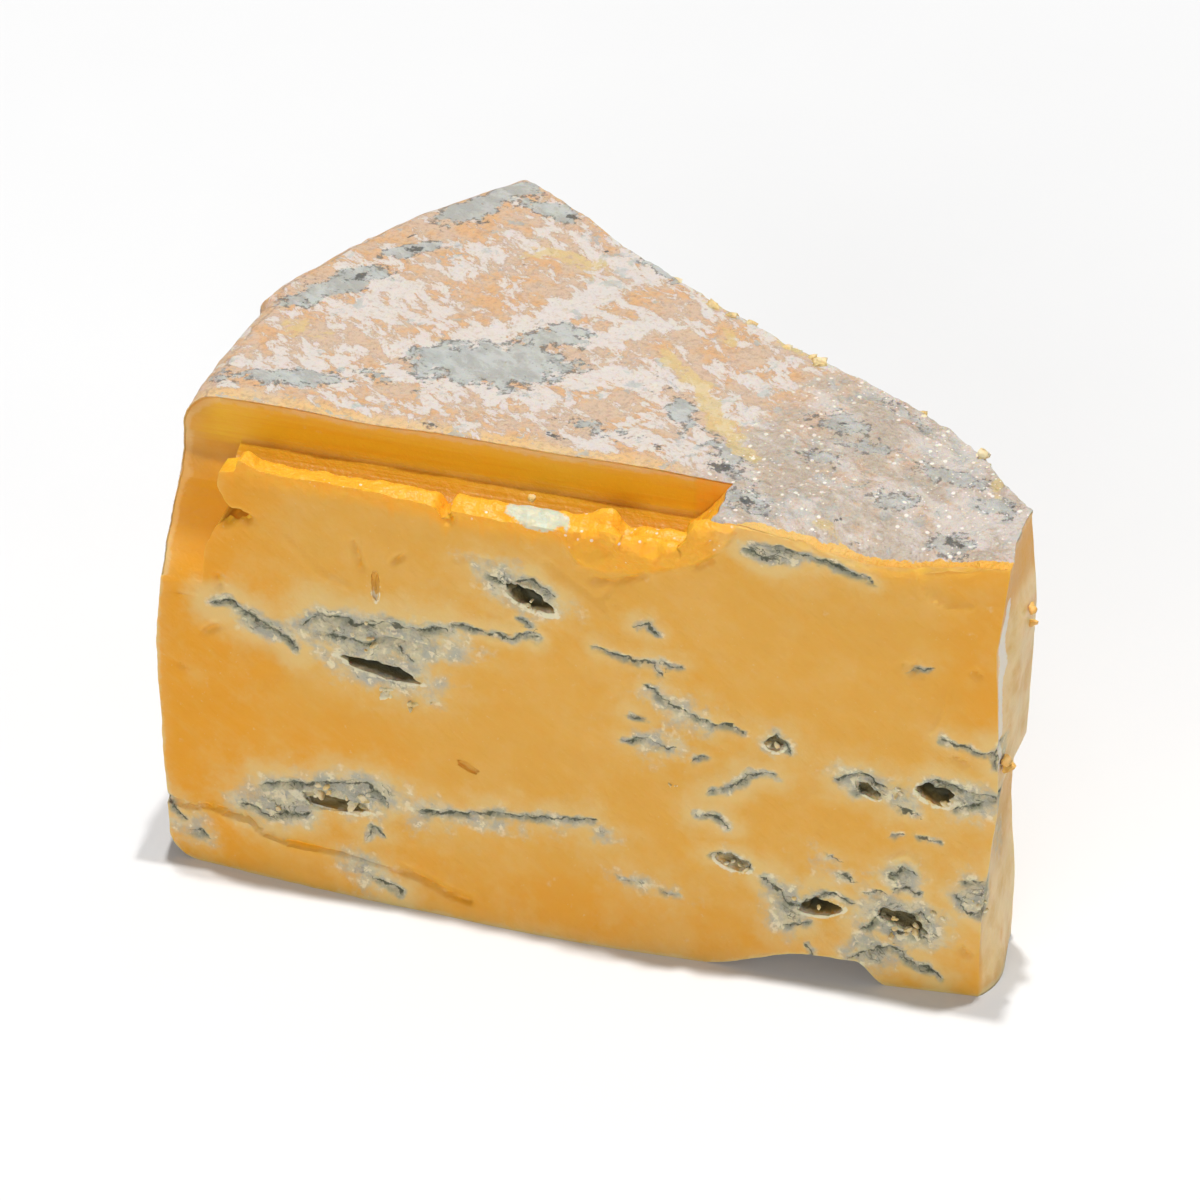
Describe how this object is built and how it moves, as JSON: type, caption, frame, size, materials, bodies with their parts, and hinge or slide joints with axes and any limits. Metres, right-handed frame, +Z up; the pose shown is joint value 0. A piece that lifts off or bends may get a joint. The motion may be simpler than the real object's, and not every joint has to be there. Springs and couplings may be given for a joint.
{
  "type": "blue cheese wedge",
  "caption": "Wedge of orange blue cheese with a mottled natural rind, mould veins and open pockets in its cut faces, and a slice taken off the front top edge.",
  "frame": {"origin": "middle of the base's bounding box, on the surface the wedge stands on", "axes": "+X along the wedge towards its blunt tip, -Y out of the cut face with the slice taken off, +Z up along the cheese wheel's axis"},
  "size_m": [0.098, 0.0676, 0.057],
  "materials": {
    "cheese_paste": null
  },
  "bodies": {
    "root": {"cheese_wedge": "cheese_paste"}
  },
  "joints": []
}
